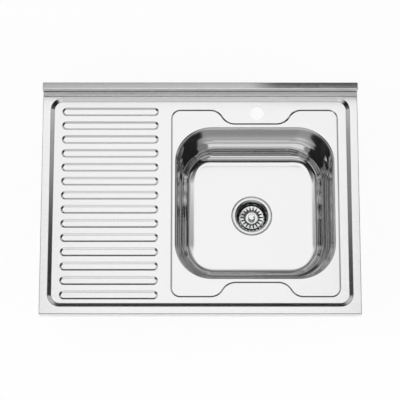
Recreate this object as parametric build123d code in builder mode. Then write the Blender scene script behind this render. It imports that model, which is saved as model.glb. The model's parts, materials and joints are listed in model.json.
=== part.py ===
from build123d import *
import os
from math import atan2, degrees, tan

# Lay-on kitchen sink: a pressed stainless top with a grooved drainer on the left, one bowl on the right,
# an upstand along the wall and a basket-strainer waste. Millimetres, X to the right, Y towards the wall,
# Z up, with the origin in the middle of the base cabinet's top, on which the skirt stands.

os.makedirs("parts", exist_ok=True)

# Sheet and outline
sheet = 0.8
sink_width = 800.0
sink_depth = 600.0
rim_height = 22.0
rim_width = 20.0
edge_radius = 3.0
return_width = 25.0

# Upstand along the wall
upstand_height = 28.0
upstand_depth = 22.0
upstand_cove = 6.0
upstand_front_radius = 5.0
upstand_back_radius = 3.0
back_rim = 10.0

# Sunken panel inside the rim
panel_drop = 6.0
panel_slope = 10.0
panel_corner = 32.0
panel_crest_radius = 4.0
panel_foot_radius = 4.0

# Drainer grooves
groove_count = 14
groove_width = 22.0
groove_drop = 3.0
groove_slope = 3.5
groove_left_gap = 19.5
groove_right_gap = 31.5
groove_front_gap = 10.0
groove_back_gap = 15.0

# Wavy recess round the bowl
recess_right_gap = 20.0
recess_front_gap = 15.0
recess_back_gap = 20.0
recess_ledge = 15.0
recess_drop = 1.2
recess_slope = 4.0
recess_corner = 24.0
notch_shift = 3.0
notch_flat = 146.0
notch_run = 22.0
notch_curve = 36.0

# Bowl, its depth measured from the rim, with the drain a little in front of its floor's middle
bowl_width = 394.0
bowl_length = 390.0
bowl_corner = 88.0
bowl_depth = 160.0
bowl_left_run = 17.0
bowl_right_run = 27.0
bowl_back_run = 17.0
bowl_front_run = 47.0
bowl_mouth_radius = 6.0
bowl_floor_corner = 82.0
bowl_floor_radius = 30.0
drain_set_forward = 5.0

# Tap hole
tap_shift = 6.0
tap_set_back = 6.0
tap_radius = 17.5

# Drain seat pressed in the bowl floor
drain_hole_room = 4.0
seat_room = 1.0
seat_slope = 2.0
seat_drop = 2.4

# Strainer cup
flange_radius = 49.5
well_radius = 39.0
well_foot_radius = 36.0
well_depth = 30.0
well_lip_radius = 6.0
well_corner_radius = 5.0
drain_port_radius = 6.0
drain_port_circle = 21.0
drain_port_count = 8

# Seals of the waste
flange_seal_height = 1.2
flange_seal_inset = 1.0
bowl_seal_height = 4.0
bowl_seal_inset = 2.0
seal_set_back = 1.5

# Waste body
body_flange_overlap = 4.0
body_flange_height = 5.0
body_wall = 2.5
body_neck_height = 50.0
outlet_radius = 23.9
outlet_bore_radius = 19.5
outlet_length = 36.0
boss_radius = 11.5
boss_gap = 1.0
boss_height = 38.0
rib_thickness = 3.0
rib_height = 20.0
rib_count = 4

# Centre bolt and its nut
bolt_head_radius = 10.0
bolt_head_height = 4.0
bolt_head_edge = 1.0
bolt_radius = 6.0
bolt_bore_radius = 4.2
bolt_length = 44.0
bolt_slot_width = 2.5
bolt_slot_depth = 1.6
nut_radius = 9.0
nut_height = 14.0
nut_lift = 2.0
close_gap = 0.1

# Basket, shut at rest with its seal on the floor of the well
seal_height = 3.0
stopper_radius = 30.0
stopper_bore_radius = 11.0
stopper_edge = 1.5
hub_radius = 27.0
hub_height = 6.0
hub_pocket_height = 2.0
hub_skirt = 2.0
dish_radius = 31.0
dish_disc_radius = 16.0
dish_bend_radius = 3.0
dish_knee_run = 4.5
dish_knee_rise = 5.0
dish_rise = 6.0
slot_count = 18
slot_width = 3.4
slot_inner_radius = 17.0
slot_outer_radius = 29.4
knob_radius = 8.8
knob_neck_radius = 5.0
knob_neck_height = 5.0
knob_height = 14.0
knob_edge = 2.5
knob_crown = 0.8
knob_foot_radius = 7.0
knob_foot_height = 2.5
knob_round = 1.2
stem_radius = 3.0
stem_edge = 1.0
stem_below_hub = 36.0
stem_in_knob = 8.0
catch_height = 3.0
catch_lift = 6.0
catch_depth = 0.6
catch_split = 1.2
running_gap = 0.08

# Damping mats
pad_thickness = 3.0
pad_corner = 12.0
pad_inset = 30.0
pad_room = 8.0

# Brackets on the cabinet sides
cabinet_side = 16.0
bracket_sheet = 1.5
bracket_width = 25.0
bracket_height = 42.0
bracket_drop = 4.0
bracket_reach = 5.0
bracket_grip = 9.0
bracket_inset = 100.0
bracket_slot_length = 20.0
bracket_slot_width = 5.0
bracket_slot_height = 24.0
bracket_slot_angle = 45.0
screw_radius = 2.0
screw_length = 14.0
screw_head_radius = 4.2
screw_head_height = 2.4
screw_crown_radius = 2.2
screw_rim = 1.2
screw_tip = 4.0

# Levels and places that follow from these
panel_level = rim_height - panel_drop
recess_level = panel_level - recess_drop
floor_level = rim_height - bowl_depth
upstand_wall = sink_depth / 2 - upstand_depth
upstand_root = upstand_wall - 2 * upstand_cove
panel_front = rim_width - sink_depth / 2
panel_back = upstand_wall - back_rim
panel_center = (panel_front + panel_back) / 2
foot_right = sink_width / 2 - rim_width - panel_slope
foot_front = panel_front + panel_slope
foot_back = panel_back - panel_slope
recess_right = foot_right - recess_right_gap
recess_front = foot_front + recess_front_gap
recess_back = foot_back - recess_back_gap
bowl_x = recess_right - recess_ledge - bowl_width / 2
bowl_y = (recess_front + recess_back) / 2
bowl_back = bowl_y + bowl_length / 2
recess_left = bowl_x - bowl_width / 2 - recess_ledge
notch_x = bowl_x + notch_shift
notch_depth = recess_back - bowl_back - recess_ledge
groove_left = groove_left_gap - foot_right
groove_right = recess_left - groove_right_gap
groove_length = groove_right - groove_left
drainer_front = foot_front + groove_front_gap
drainer_back = foot_back - groove_back_gap
drainer_length = drainer_back - drainer_front
drainer_x = (groove_left + groove_right) / 2
drainer_y = (drainer_front + drainer_back) / 2
groove_pitch = (drainer_length - groove_width) / (groove_count - 1)
tap_x = bowl_x + tap_shift
tap_y = (bowl_back + foot_back) / 2 + tap_set_back
drain_x = bowl_x + (bowl_left_run - bowl_right_run) / 2
drain_y = bowl_y + (bowl_front_run - bowl_back_run) / 2 - drain_set_forward
bowl_floor_width = bowl_width - bowl_left_run - bowl_right_run
bowl_floor_length = bowl_length - bowl_front_run - bowl_back_run
drain_hole_radius = well_radius + drain_hole_room
seat_radius = flange_radius + seat_room
seal_inner_radius = drain_hole_radius + seal_set_back
flange_seal_radius = flange_radius - flange_seal_inset
body_flange_radius = flange_radius + body_flange_overlap
bowl_seal_radius = body_flange_radius - bowl_seal_inset
seat_level = floor_level - seat_drop
flange_level = seat_level + flange_seal_height + sheet
well_level = flange_level - well_depth
body_level = seat_level - sheet - bowl_seal_height
hub_level = well_level + seal_height
dish_level = hub_level + hub_height + sheet
bracket_y = sink_depth / 2 - bracket_inset
drain_plane = Plane(origin=(drain_x, drain_y, 0), x_dir=(1, 0, 0), z_dir=(0, -1, 0))
drain_axis = Axis((drain_x, drain_y, 0), (0, 0, 1))


def spread(gap, drop, run):
    """Sideways shift of a slope's edge where the sheet's under side lies one gap below its face."""
    return gap * tan(atan2(drop, run) / 2)


def bowl_form(gap):
    """Inside of the bowl, or with a gap of one sheet its outside, from the recess down to the floor."""
    mouth_level = recess_level - gap
    with BuildPart() as form:
        with BuildSketch(Plane.XY.offset(mouth_level)):
            with Locations((bowl_x, bowl_y)):
                RectangleRounded(bowl_width + 2 * gap, bowl_length + 2 * gap, bowl_corner + gap)
        with BuildSketch(Plane.XY.offset(floor_level - gap)):
            with Locations((drain_x, drain_y)):
                RectangleRounded(
                    bowl_floor_width + 2 * gap,
                    bowl_floor_length + 2 * gap,
                    bowl_floor_corner + gap,
                )
        loft(ruled=True)
        fillet(form.edges().group_by(Axis.Z)[0], bowl_floor_radius + gap)
        with BuildSketch(Plane.XY.offset(floor_level - gap)):
            with Locations((drain_x, drain_y)):
                Circle(seat_radius + seat_slope + spread(gap, seat_drop, seat_slope))
        extrude(amount=-seat_drop, taper=degrees(atan2(seat_slope, seat_drop)))
    return form.part


def recess_outline(grow):
    """Corner points of the recess round the bowl, with a notch in the middle of its front and back."""
    left = recess_left - grow
    right = recess_right + grow
    front = recess_front - grow
    back = recess_back + grow
    inner = notch_flat / 2 - grow
    outer = inner + notch_run
    return [
        (left, front),
        (notch_x - outer, front),
        (notch_x - inner, front + notch_depth),
        (notch_x + inner, front + notch_depth),
        (notch_x + outer, front),
        (right, front),
        (right, back),
        (notch_x + outer, back),
        (notch_x + inner, back - notch_depth),
        (notch_x - inner, back - notch_depth),
        (notch_x - outer, back),
        (left, back),
    ]


def pressed_form(gap):
    """Solid below the pressed sheet: its face side, or with a gap of one sheet its under side."""
    top = rim_height - gap
    panel_grow = spread(gap, panel_drop, panel_slope)
    groove_grow = spread(gap, groove_drop, groove_slope)
    recess_grow = spread(gap, recess_drop, recess_slope)
    with BuildPart() as form:
        with BuildSketch(Plane.XY.offset(gap)):
            Rectangle(sink_width - 2 * gap, sink_depth - 2 * gap)
        extrude(amount=top - gap)
        crest = form.edges().group_by(Axis.Z)[-1].sort_by(Axis.Y)[:-1]
        fillet(crest, edge_radius - gap)
        rounds = [upstand_back_radius - gap, upstand_front_radius - gap, upstand_cove + gap]
        with BuildSketch(Plane.YZ):
            with BuildLine():
                FilletPolyline(
                    (upstand_root, gap),
                    (sink_depth / 2 - gap, gap),
                    (sink_depth / 2 - gap, top + upstand_height),
                    (upstand_wall + gap, top + upstand_height),
                    (upstand_wall + gap, top),
                    (upstand_root, top),
                    radius=[0, 0] + rounds + [0],
                    close=True,
                )
            make_face()
        extrude(amount=sink_width / 2 - gap, both=True)
        with BuildSketch():
            Rectangle(sink_width - 2 * return_width, sink_depth - 2 * return_width)
        extrude(amount=2 * sheet)
        with BuildSketch(Plane.XY.offset(top)):
            with Locations((0, panel_center)):
                RectangleRounded(
                    sink_width - 2 * rim_width + 2 * panel_grow,
                    panel_back - panel_front + 2 * panel_grow,
                    panel_corner + panel_grow,
                )
        extrude(amount=-panel_drop, taper=degrees(atan2(panel_slope, panel_drop)), mode=Mode.SUBTRACT)
        rings = form.edges(Select.LAST).group_by(Axis.Z)
        crest_ring = rings[-1]
        foot_ring = rings[0]
        fillet(crest_ring, panel_crest_radius - gap)
        fillet(foot_ring, panel_foot_radius + gap)
        with BuildSketch(Plane.XY.offset(top - panel_drop)):
            with Locations((drainer_x, drainer_y)):
                with GridLocations(0, groove_pitch, 1, groove_count):
                    SlotOverall(groove_length + 2 * groove_grow, groove_width + 2 * groove_grow)
        extrude(amount=-groove_drop, taper=degrees(atan2(groove_slope, groove_drop)), mode=Mode.SUBTRACT)
        with BuildSketch(Plane.XY.offset(top - panel_drop)):
            with BuildLine():
                corners = [recess_corner]
                curves = [notch_curve] * 4
                FilletPolyline(
                    *recess_outline(recess_grow),
                    radius=corners + curves + corners + corners + curves + corners,
                    close=True,
                )
            make_face()
        extrude(amount=-recess_drop, taper=degrees(atan2(recess_slope, recess_drop)), mode=Mode.SUBTRACT)
        add(bowl_form(gap), mode=Mode.SUBTRACT)
        mouth = form.edges(Select.LAST).group_by(Axis.Z)[-1]
        fillet(mouth, bowl_mouth_radius - gap)
    return form.part


# Pressed top
with BuildPart() as sink_top:
    add(pressed_form(0))
    add(pressed_form(sheet), mode=Mode.SUBTRACT)
    with Locations((tap_x, tap_y, panel_level)):
        Hole(tap_radius)
sink_top.part.label = "sink_top"
export_step(sink_top.part, "parts/sink_top.step")

# Bowl, from the weld at the cabinet's top down
with BuildPart() as bowl:
    add(bowl_form(sheet))
    add(bowl_form(0), mode=Mode.SUBTRACT)
    split(bisect_by=Plane.XY, keep=Keep.BOTTOM)
    with Locations((drain_x, drain_y, seat_level)):
        Hole(drain_hole_radius)
bowl.part.label = "bowl"
export_step(bowl.part, "parts/bowl.step")

# Damping mats, glued under the grooves and under the flat of the bowl floor
groove_under = panel_level - groove_drop - sheet
floor_inset = bowl_floor_radius + pad_room
with BuildPart() as drainer_pad:
    with BuildSketch(Plane.XY.offset(groove_under)):
        with Locations((drainer_x, drainer_y)):
            RectangleRounded(groove_length - 2 * pad_inset, drainer_length - 2 * pad_inset, pad_corner)
    extrude(amount=-pad_thickness)
drainer_pad.part.label = "drainer_pad"
export_step(drainer_pad.part, "parts/drainer_pad.step")

with BuildPart() as bowl_pad:
    with BuildSketch(Plane.XY.offset(floor_level - sheet)):
        with Locations((drain_x, drain_y)):
            RectangleRounded(
                bowl_floor_width - 2 * floor_inset,
                bowl_floor_length - 2 * floor_inset,
                pad_corner,
            )
            Circle(body_flange_radius + pad_room, mode=Mode.SUBTRACT)
    extrude(amount=-pad_thickness)
bowl_pad.part.label = "bowl_pad"
export_step(bowl_pad.part, "parts/bowl_pad.step")

# Strainer cup: flange, well and drain ports
with BuildPart() as strainer_cup:
    with BuildSketch(drain_plane):
        with BuildLine():
            cup_face = FilletPolyline(
                (flange_radius, flange_level),
                (well_radius, flange_level),
                (well_foot_radius, well_level),
                (bolt_radius + close_gap, well_level),
                radius=[well_lip_radius, well_corner_radius],
            )
            offset(cup_face, amount=sheet, side=Side.LEFT)
        make_face()
    revolve(axis=drain_axis)
    with BuildSketch(Plane.XY.offset(well_level)):
        with Locations((drain_x, drain_y)):
            with PolarLocations(drain_port_circle, drain_port_count):
                Circle(drain_port_radius)
    extrude(amount=sheet, both=True, mode=Mode.SUBTRACT)
strainer_cup.part.label = "strainer_cup"
export_step(strainer_cup.part, "parts/strainer_cup.step")

# Rubber rings above and below the bowl floor
with BuildPart() as flange_seal:
    with BuildSketch(Plane.XY.offset(seat_level)):
        with Locations((drain_x, drain_y)):
            Circle(flange_seal_radius)
            Circle(seal_inner_radius, mode=Mode.SUBTRACT)
    extrude(amount=flange_seal_height)
flange_seal.part.label = "flange_seal"
export_step(flange_seal.part, "parts/flange_seal.step")

with BuildPart() as bowl_seal:
    with BuildSketch(Plane.XY.offset(body_level)):
        with Locations((drain_x, drain_y)):
            Circle(bowl_seal_radius)
            Circle(seal_inner_radius, mode=Mode.SUBTRACT)
    extrude(amount=bowl_seal_height)
bowl_seal.part.label = "bowl_seal"
export_step(bowl_seal.part, "parts/bowl_seal.step")

# Waste body: funnel, outlet spigot and a boss for the nut on four ribs
shoulder_level = body_level - body_flange_height
neck_level = body_level - body_neck_height
outlet_level = neck_level - outlet_length
boss_level = well_level - sheet - boss_gap
with BuildPart() as waste_body:
    with BuildSketch(drain_plane):
        with BuildLine():
            Polyline(
                (seal_inner_radius, body_level),
                (body_flange_radius, body_level),
                (body_flange_radius, shoulder_level),
                (seal_inner_radius + body_wall, shoulder_level),
                (seal_inner_radius + body_wall, boss_level),
                (outlet_radius, neck_level),
                (outlet_radius, outlet_level),
                (outlet_bore_radius, outlet_level),
                (outlet_bore_radius, neck_level),
                (seal_inner_radius, boss_level),
                close=True,
            )
        make_face()
    revolve(axis=drain_axis)
    with BuildSketch(Plane.XY.offset(boss_level)):
        with Locations((drain_x, drain_y)):
            with PolarLocations((seal_inner_radius + boss_radius) / 2, rib_count):
                Rectangle(seal_inner_radius - boss_radius + body_wall, rib_thickness)
    extrude(amount=-rib_height)
    with BuildSketch(drain_plane):
        with BuildLine():
            Polyline(
                (seal_inner_radius + body_wall, boss_level),
                (outlet_radius, neck_level),
                (seal_inner_radius + body_wall, neck_level),
                close=True,
            )
        make_face()
    revolve(axis=drain_axis, mode=Mode.SUBTRACT)
    with BuildSketch(Plane.XY.offset(boss_level)):
        with Locations((drain_x, drain_y)):
            Circle(boss_radius)
    extrude(amount=-boss_height)
    with Locations((drain_x, drain_y, boss_level)):
        Hole(bolt_radius + close_gap, depth=boss_height)
    with BuildSketch(Plane.XY.offset(boss_level - boss_height)):
        with Locations((drain_x, drain_y)):
            RegularPolygon(nut_radius + close_gap, 6, major_radius=False)
    extrude(amount=nut_height + nut_lift, mode=Mode.SUBTRACT)
waste_body.part.label = "waste_body"
export_step(waste_body.part, "parts/waste_body.step")

# Brass nut in the boss and the hollow bolt that clamps cup and body together
with BuildPart() as insert_nut:
    with BuildSketch(Plane.XY.offset(boss_level - boss_height + nut_lift)):
        with Locations((drain_x, drain_y)):
            RegularPolygon(nut_radius, 6, major_radius=False)
            Circle(bolt_radius + close_gap, mode=Mode.SUBTRACT)
    extrude(amount=nut_height)
insert_nut.part.label = "insert_nut"
export_step(insert_nut.part, "parts/insert_nut.step")

with BuildPart() as fixing_bolt:
    with BuildSketch(Plane.XY.offset(well_level)):
        with Locations((drain_x, drain_y)):
            Circle(bolt_head_radius)
    extrude(amount=bolt_head_height)
    fillet(fixing_bolt.edges().group_by(Axis.Z)[-1], bolt_head_edge)
    with BuildSketch(Plane.XY.offset(well_level)):
        with Locations((drain_x, drain_y)):
            Circle(bolt_radius)
    extrude(amount=-bolt_length)
    with BuildSketch(Plane.XY.offset(well_level + bolt_head_height)):
        with Locations((drain_x, drain_y)):
            Rectangle(2 * bolt_head_radius, bolt_slot_width)
    extrude(amount=-bolt_slot_depth, mode=Mode.SUBTRACT)
    with Locations((drain_x, drain_y, well_level + bolt_head_height)):
        Hole(bolt_bore_radius)
fixing_bolt.part.label = "fixing_bolt"
export_step(fixing_bolt.part, "parts/fixing_bolt.step")

# Basket: slotted dish, plastic hub, rubber stopper, stem with its catch, and knob
with BuildPart() as basket_dish:
    with BuildSketch(drain_plane):
        with BuildLine():
            dish_face = FilletPolyline(
                (stem_radius + close_gap, dish_level),
                (dish_disc_radius, dish_level),
                (dish_disc_radius + dish_knee_run, dish_level + dish_knee_rise),
                (dish_radius, dish_level + dish_rise),
                radius=dish_bend_radius,
            )
            offset(dish_face, amount=sheet, side=Side.RIGHT)
        make_face()
    revolve(axis=drain_axis)
    with BuildSketch(Plane.XY.offset(dish_level - sheet)):
        with Locations((drain_x, drain_y)):
            with PolarLocations((slot_inner_radius + slot_outer_radius) / 2, slot_count):
                SlotOverall(slot_outer_radius - slot_inner_radius, slot_width)
    extrude(amount=dish_rise + 2 * sheet, mode=Mode.SUBTRACT)
basket_dish.part.label = "basket_dish"
export_step(basket_dish.part, "parts/basket_dish.step")

with BuildPart() as stopper_hub:
    with BuildSketch(drain_plane):
        with BuildLine():
            Polyline(
                (stem_radius + close_gap, hub_level + hub_pocket_height),
                (stopper_bore_radius, hub_level + hub_pocket_height),
                (stopper_bore_radius, hub_level),
                (hub_radius, hub_level),
                (hub_radius, hub_level + hub_skirt),
                (dish_disc_radius, hub_level + hub_height),
                (stem_radius + close_gap, hub_level + hub_height),
                close=True,
            )
        make_face()
    revolve(axis=drain_axis)
stopper_hub.part.label = "stopper_hub"
export_step(stopper_hub.part, "parts/stopper_hub.step")

with BuildPart() as stopper_seal:
    with BuildSketch(Plane.XY.offset(well_level)):
        with Locations((drain_x, drain_y)):
            Circle(stopper_radius)
            Circle(stopper_bore_radius, mode=Mode.SUBTRACT)
    extrude(amount=seal_height)
    fillet(stopper_seal.edges().group_by(Axis.Z)[-1].sort_by(SortBy.LENGTH)[-1], stopper_edge)
stopper_seal.part.label = "stopper_seal"
export_step(stopper_seal.part, "parts/stopper_seal.step")

stem_foot = hub_level - stem_below_hub
catch_level = stem_foot + catch_lift
groove_radius = stem_radius - catch_depth
with BuildPart() as basket_stem:
    with BuildSketch(drain_plane):
        with BuildLine():
            Polyline(
                (0, stem_foot),
                (stem_radius, stem_foot),
                (stem_radius, catch_level - running_gap),
                (groove_radius, catch_level - running_gap),
                (groove_radius, catch_level + catch_height + running_gap),
                (stem_radius, catch_level + catch_height + running_gap),
                (stem_radius, dish_level + stem_in_knob),
                (0, dish_level + stem_in_knob),
                close=True,
            )
        make_face()
    revolve(axis=drain_axis)
    fillet(basket_stem.edges().group_by(Axis.Z)[0], stem_edge)
basket_stem.part.label = "basket_stem"
export_step(basket_stem.part, "parts/basket_stem.step")

with BuildPart() as stem_catch:
    with BuildSketch(Plane.XY.offset(catch_level)):
        with Locations((drain_x, drain_y)):
            Circle(bolt_bore_radius - running_gap)
            Circle(groove_radius + running_gap, mode=Mode.SUBTRACT)
        with Locations((drain_x + bolt_bore_radius / 2, drain_y)):
            Rectangle(bolt_bore_radius, catch_split, mode=Mode.SUBTRACT)
    extrude(amount=catch_height)
stem_catch.part.label = "stem_catch"
export_step(stem_catch.part, "parts/stem_catch.step")

with BuildPart() as basket_knob:
    with BuildSketch(drain_plane):
        with BuildLine():
            side_line = FilletPolyline(
                (0, dish_level),
                (knob_foot_radius, dish_level),
                (knob_neck_radius, dish_level + knob_foot_height),
                (knob_neck_radius, dish_level + knob_neck_height),
                (knob_radius, dish_level + knob_neck_height + knob_edge),
                (knob_radius, dish_level + knob_height - knob_crown),
                radius=[0, knob_round, knob_round, knob_round],
            )
            crown = TangentArc((0, dish_level + knob_height), side_line @ 1, tangent=(1, 0))
            Line(crown @ 0, side_line @ 0)
        make_face()
    revolve(axis=drain_axis)
    with Locations((drain_x, drain_y, dish_level)):
        Cylinder(
            stem_radius + close_gap,
            stem_in_knob + close_gap,
            align=(Align.CENTER, Align.CENTER, Align.MIN),
            mode=Mode.SUBTRACT,
        )
basket_knob.part.label = "basket_knob"
export_step(basket_knob.part, "parts/basket_knob.step")

# Hook brackets on the inner faces of the cabinet sides, gripping the return flange
plate_x = sink_width / 2 - cabinet_side
bend_x = sink_width / 2 - return_width - bracket_reach
plate_top = -bracket_drop
slot_level = plate_top - bracket_slot_height
sides = {"left": -1, "right": 1}
rows = {"front": -1, "rear": 1}
for row_name, row in rows.items():
    for side_name, side in sides.items():
        with BuildPart() as bracket:
            with BuildSketch(Plane.XZ.offset(-row * bracket_y)):
                with BuildLine():
                    hook = Polyline(
                        (side * plate_x, plate_top - bracket_height),
                        (side * plate_x, plate_top),
                        (side * bend_x, plate_top),
                        (side * bend_x, sheet),
                        (side * (bend_x + bracket_reach + bracket_grip), sheet),
                    )
                    offset(hook, amount=bracket_sheet, side=Side.LEFT if side > 0 else Side.RIGHT)
                make_face()
            extrude(amount=bracket_width / 2, both=True)
            with BuildSketch(Plane.YZ.offset(side * plate_x)):
                with Locations((row * bracket_y, slot_level)):
                    SlotOverall(bracket_slot_length, bracket_slot_width, rotation=row * bracket_slot_angle)
            extrude(amount=2 * bracket_sheet, both=True, mode=Mode.SUBTRACT)
        bracket_name = f"bracket_{row_name}_{side_name}"
        bracket.part.label = bracket_name
        export_step(bracket.part, f"parts/{bracket_name}.step")

# Chipboard screws of the brackets, through their slots into the cabinet sides
with BuildPart() as bracket_screws:
    for row in rows.values():
        for side in sides.values():
            seat = (side * (plate_x - bracket_sheet), row * bracket_y, slot_level)
            with BuildSketch(Plane(origin=seat, x_dir=(side, 0, 0), z_dir=(0, -side, 0))):
                with BuildLine():
                    Polyline(
                        (-screw_head_height, 0),
                        (-screw_head_height, screw_crown_radius),
                        (-screw_rim, screw_head_radius),
                        (0, screw_head_radius),
                        (0, screw_radius),
                        (screw_length - screw_tip, screw_radius),
                        (screw_length, 0),
                        close=True,
                    )
                make_face()
            revolve(axis=Axis(seat, (side, 0, 0)))
bracket_screws.part.label = "bracket_screws"
export_step(bracket_screws.part, "parts/bracket_screws.step")
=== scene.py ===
import json
from math import atan2, copysign, cos, pi, radians, sin, tan
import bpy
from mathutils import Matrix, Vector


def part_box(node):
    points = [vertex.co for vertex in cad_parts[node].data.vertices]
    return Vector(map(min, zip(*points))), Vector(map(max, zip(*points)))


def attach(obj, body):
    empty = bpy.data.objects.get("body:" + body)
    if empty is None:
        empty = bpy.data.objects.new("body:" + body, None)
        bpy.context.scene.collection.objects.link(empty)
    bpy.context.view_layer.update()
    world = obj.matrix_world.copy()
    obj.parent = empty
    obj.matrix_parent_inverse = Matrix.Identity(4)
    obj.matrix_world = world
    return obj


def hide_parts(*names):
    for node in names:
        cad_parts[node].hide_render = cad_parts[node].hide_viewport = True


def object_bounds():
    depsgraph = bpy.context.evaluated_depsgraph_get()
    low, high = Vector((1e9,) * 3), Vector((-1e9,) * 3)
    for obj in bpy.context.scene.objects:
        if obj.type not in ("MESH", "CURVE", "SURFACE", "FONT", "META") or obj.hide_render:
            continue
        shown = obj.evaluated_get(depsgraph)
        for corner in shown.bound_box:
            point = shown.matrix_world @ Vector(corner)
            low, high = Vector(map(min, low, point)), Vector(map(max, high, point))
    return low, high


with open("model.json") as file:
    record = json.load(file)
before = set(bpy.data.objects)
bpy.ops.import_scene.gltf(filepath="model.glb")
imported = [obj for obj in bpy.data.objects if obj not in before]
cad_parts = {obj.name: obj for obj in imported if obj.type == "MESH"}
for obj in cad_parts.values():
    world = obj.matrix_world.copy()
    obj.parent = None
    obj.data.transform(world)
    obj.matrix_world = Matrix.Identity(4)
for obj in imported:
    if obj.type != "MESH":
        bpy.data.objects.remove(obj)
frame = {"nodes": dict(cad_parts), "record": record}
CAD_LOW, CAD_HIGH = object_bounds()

from types import SimpleNamespace

import bpy
import numpy as np
from bpy.props import FloatProperty, FloatVectorProperty, IntProperty, PointerProperty
from bpy.types import Operator, Panel, PropertyGroup
from mathutils import Vector
from mathutils.geometry import delaunay_2d_cdt

bl_info = {
    "name": "Lay-on kitchen sink",
    "version": (1, 0, 0),
    "blender": (4, 5, 0),
    "location": "View3D > Sidebar > Sink",
    "description": "Pressed steel sink with drainer, bowl and basket waste, on its studio stage",
    "category": "Object",
}

MOUNTS = {mount["name"]: mount for mount in frame["record"]["mounts"]}
TOP_LOW, TOP_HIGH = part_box("sink_top")
CUP_LOW, CUP_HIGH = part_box("strainer_cup")
DISH_LOW, DISH_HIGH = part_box("basket_dish")
KNOB_LOW, KNOB_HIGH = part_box("basket_knob")
DRAIN = np.array(((CUP_LOW.x + CUP_HIGH.x) / 2, (CUP_LOW.y + CUP_HIGH.y) / 2))

# Points along arcs, slopes, edges and circles, and rows that the waves in the bowl's walls need.
ARC_STEPS = 10
BOWL_STEPS = 16
SLOPE_STEPS = 6
EDGE_STEPS = 4
ROUND_STEPS = 96
HOLE_STEPS = 32
SLOT_STEPS = 8
WAVE_ROWS = 14

# Rows of the bowl's section: the last one above the weld, and the last one of the walls' bulge.
WELD_ROW = BOWL_STEPS + 1
BULGE_ROW = 2 * BOWL_STEPS + 3

# Where the walls bulge most, as a share of their height.
BOW_HEIGHT = 0.45

# Width of the well's rounded foot, in corner radii.
FOOT_WIDTH = 1.2

# Digits to which two points agree to be one, smallest area of a face and tolerance of a flat's triangles.
SAME_PLACE_DIGITS = 6
SMALLEST_AREA = 1e-12
FILL_TOLERANCE = 1e-7

# Difference in level over which the slope of the waves is taken.
SMALL_STEP = 0.0001

# Noise values that count as low and as high, and how far lathe rings wander.
NOISE_LOW, NOISE_HIGH = 0.3, 0.7
RING_WANDER = 1.5

# Camera sensor in millimetres, and the furthest distance that the camera sees in metres.
SENSOR_WIDTH = 36
FAR_CLIP = 100

# Lamps: name, place, width and power in watts.
LAMPS = (
    ("key_lamp", (-1.2, -0.8, 2.6), 1.8, 34),
    ("fill_lamp", (1.6, -1.2, 2.0), 1.6, 16),
)

# What the steel mirrors, in stops of (place, grey). Places are the sine of the height in the sky, and
# metres along one axis on the cards.
WHITE = (1, 1, 1, 1)
SKY = (
    (-1, 0.3), (0, 0.42), (0.26, 0.55), (0.44, 0.5), (0.55, 0.24),
    (0.77, 0.2), (0.85, 0.3), (0.9, 0.95), (0.93, 1), (1, 1),
)
DARK = ((0, 0.012), (1, 0.012))
PALE = ((0, 0.75), (1, 0.75))
BACK_GREYS = ((2.3, 0.03), (3.2, 0.03), (3.3, 0.3), (3.65, 0.3), (3.75, 0.012), (4.9, 0.05))
LOW_LEFT_GREYS = ((0.5, 0.012), (0.9, 0.02), (1.15, 0.22), (1.37, 0.25), (1.75, 0.5))
LOW_RIGHT_GREYS = ((0.5, 0.012), (0.98, 0.015), (1.15, 0.045), (1.37, 0.36), (1.75, 0.5))
HIGH_GREYS = ((-0.6, 0.012), (-0.1, 0.02), (0.5, 0.1), (1.0, 0.25), (1.42, 0.6))
UPPER_GREYS = (
    (2.5, 0.012), (2.72, 0.012), (2.8, 0.5), (2.92, 0.5), (3.0, 0.012),
    (3.5, 0.012), (3.6, 0.4), (3.8, 0.4), (3.9, 0.012), (4.3, 0.012),
)
LEFT_GREYS = (*UPPER_GREYS, (4.4, 0.75), (5.2, 0.75))
RIGHT_GREYS = (*UPPER_GREYS, (4.4, 0.4), (5.2, 0.4))
UPSTAND_GREYS = ((-0.6, 0.4), (0.13, 0.5), (0.2, 0.06), (0.6, 0.04))
FRONT_GREYS = (
    (-4.5, 0.03), (-3.2, 0.03), (-3.0, 0.9), (-2.4, 0.9), (-2.2, 0.55), (-1.75, 0.4), (-1.6, 0.35),
    (-1.5, 0.95), (-1.4, 0.85), (-1.2, 0.43), (-0.7, 0.27), (-0.55, 0.05), (-0.1, 0.03),
)

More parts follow.
